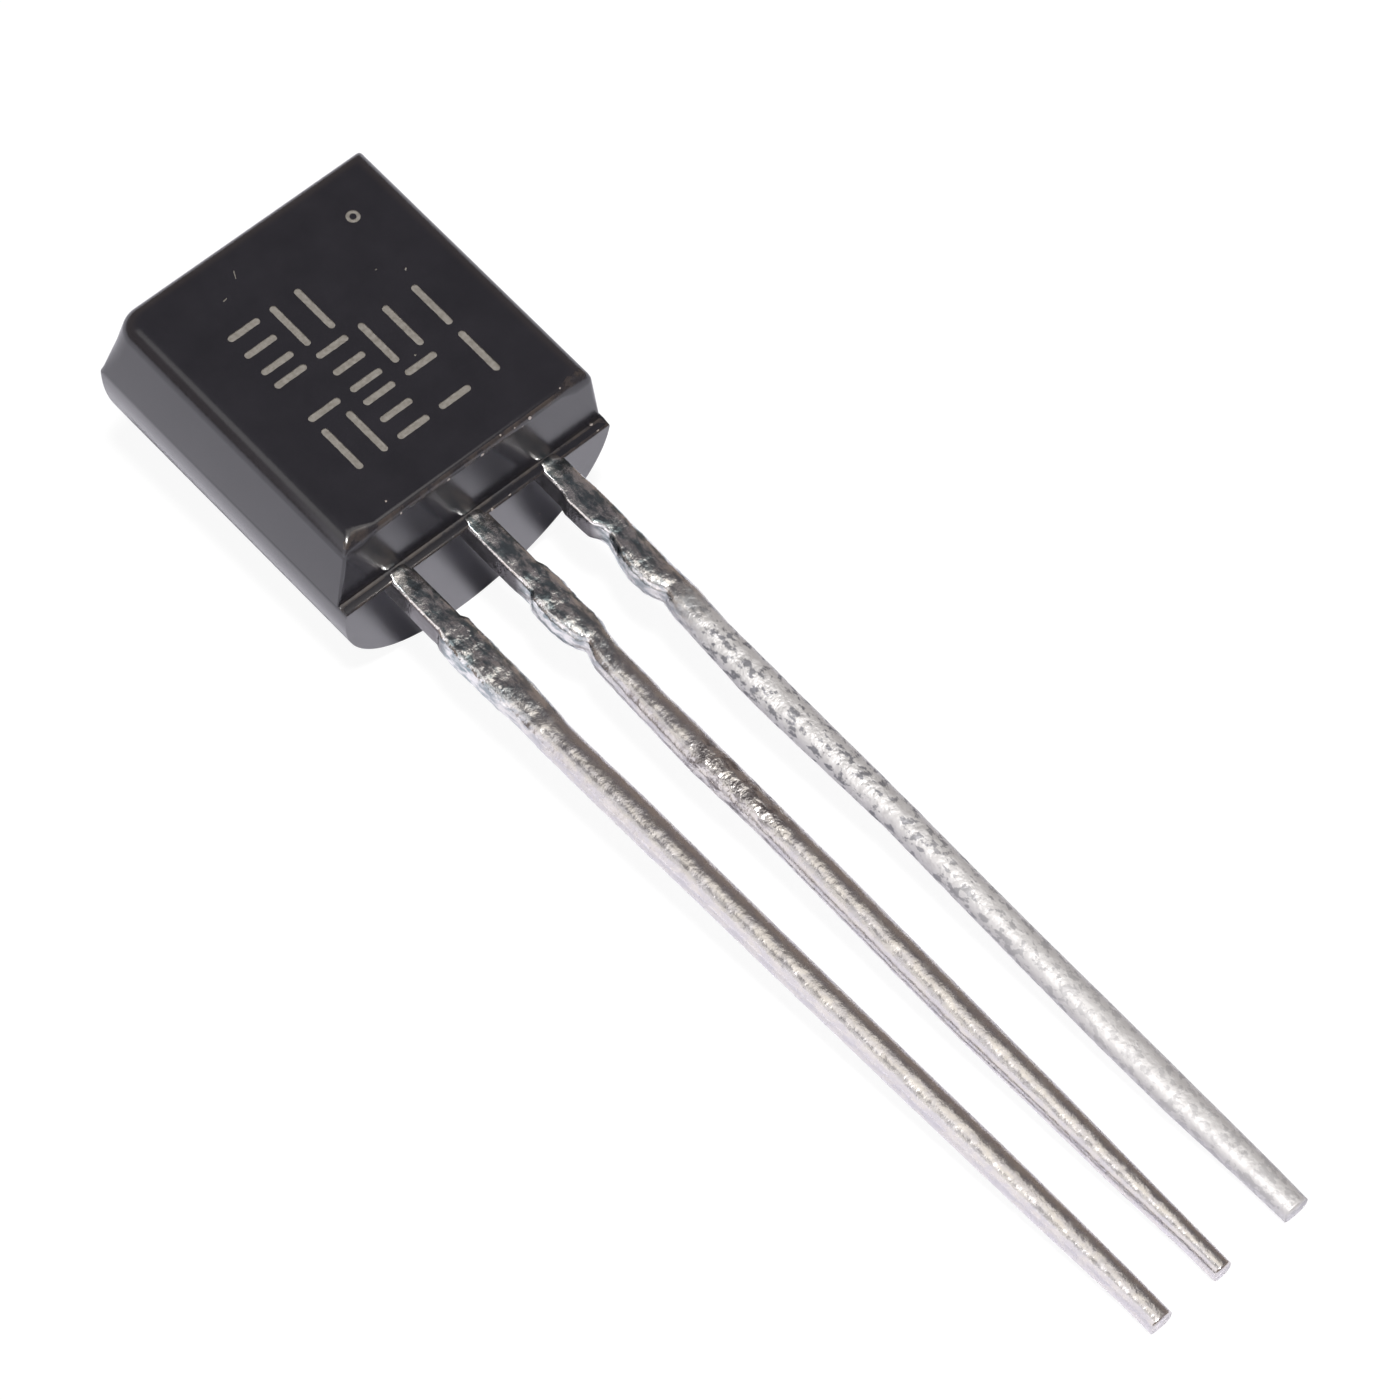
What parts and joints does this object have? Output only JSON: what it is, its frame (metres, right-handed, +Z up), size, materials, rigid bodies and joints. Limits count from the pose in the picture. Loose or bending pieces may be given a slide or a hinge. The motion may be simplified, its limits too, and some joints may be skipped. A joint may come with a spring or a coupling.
{
  "type": "TO-92 transistor",
  "caption": "Small through-hole transistor: a black epoxy case with a flat front and a round back, and tinned leads in a row, lying on its back and lead tips.",
  "frame": {"origin": "middle of the bounding box's underside, on the surface that the part lies on", "axes": "X along the row of leads from the emitter to the collector, Y from the lead tips to the case, +Z up, about square to the flat face, which leans towards the tips by the angle at which the part lies"},
  "size_m": [0.0044, 0.018, 0.004],
  "materials": {
    "case_epoxy": "moulded epoxy, polished on the flat face and satin elsewhere",
    "tinned_lead": "hot tin dipped over stamped metal, bright and a little lumpy",
    "die_solder": "satin solder",
    "silicon": "polished",
    "bond_gold": "drawn wire"
  },
  "bodies": {
    "root": {"case": "case_epoxy", "lead_emitter": "tinned_lead", "lead_base": "tinned_lead", "lead_collector": "tinned_lead", "die_attach": "die_solder", "die": "silicon", "bond_wire_emitter": "bond_gold", "bond_wire_base": "bond_gold"}
  },
  "joints": []
}
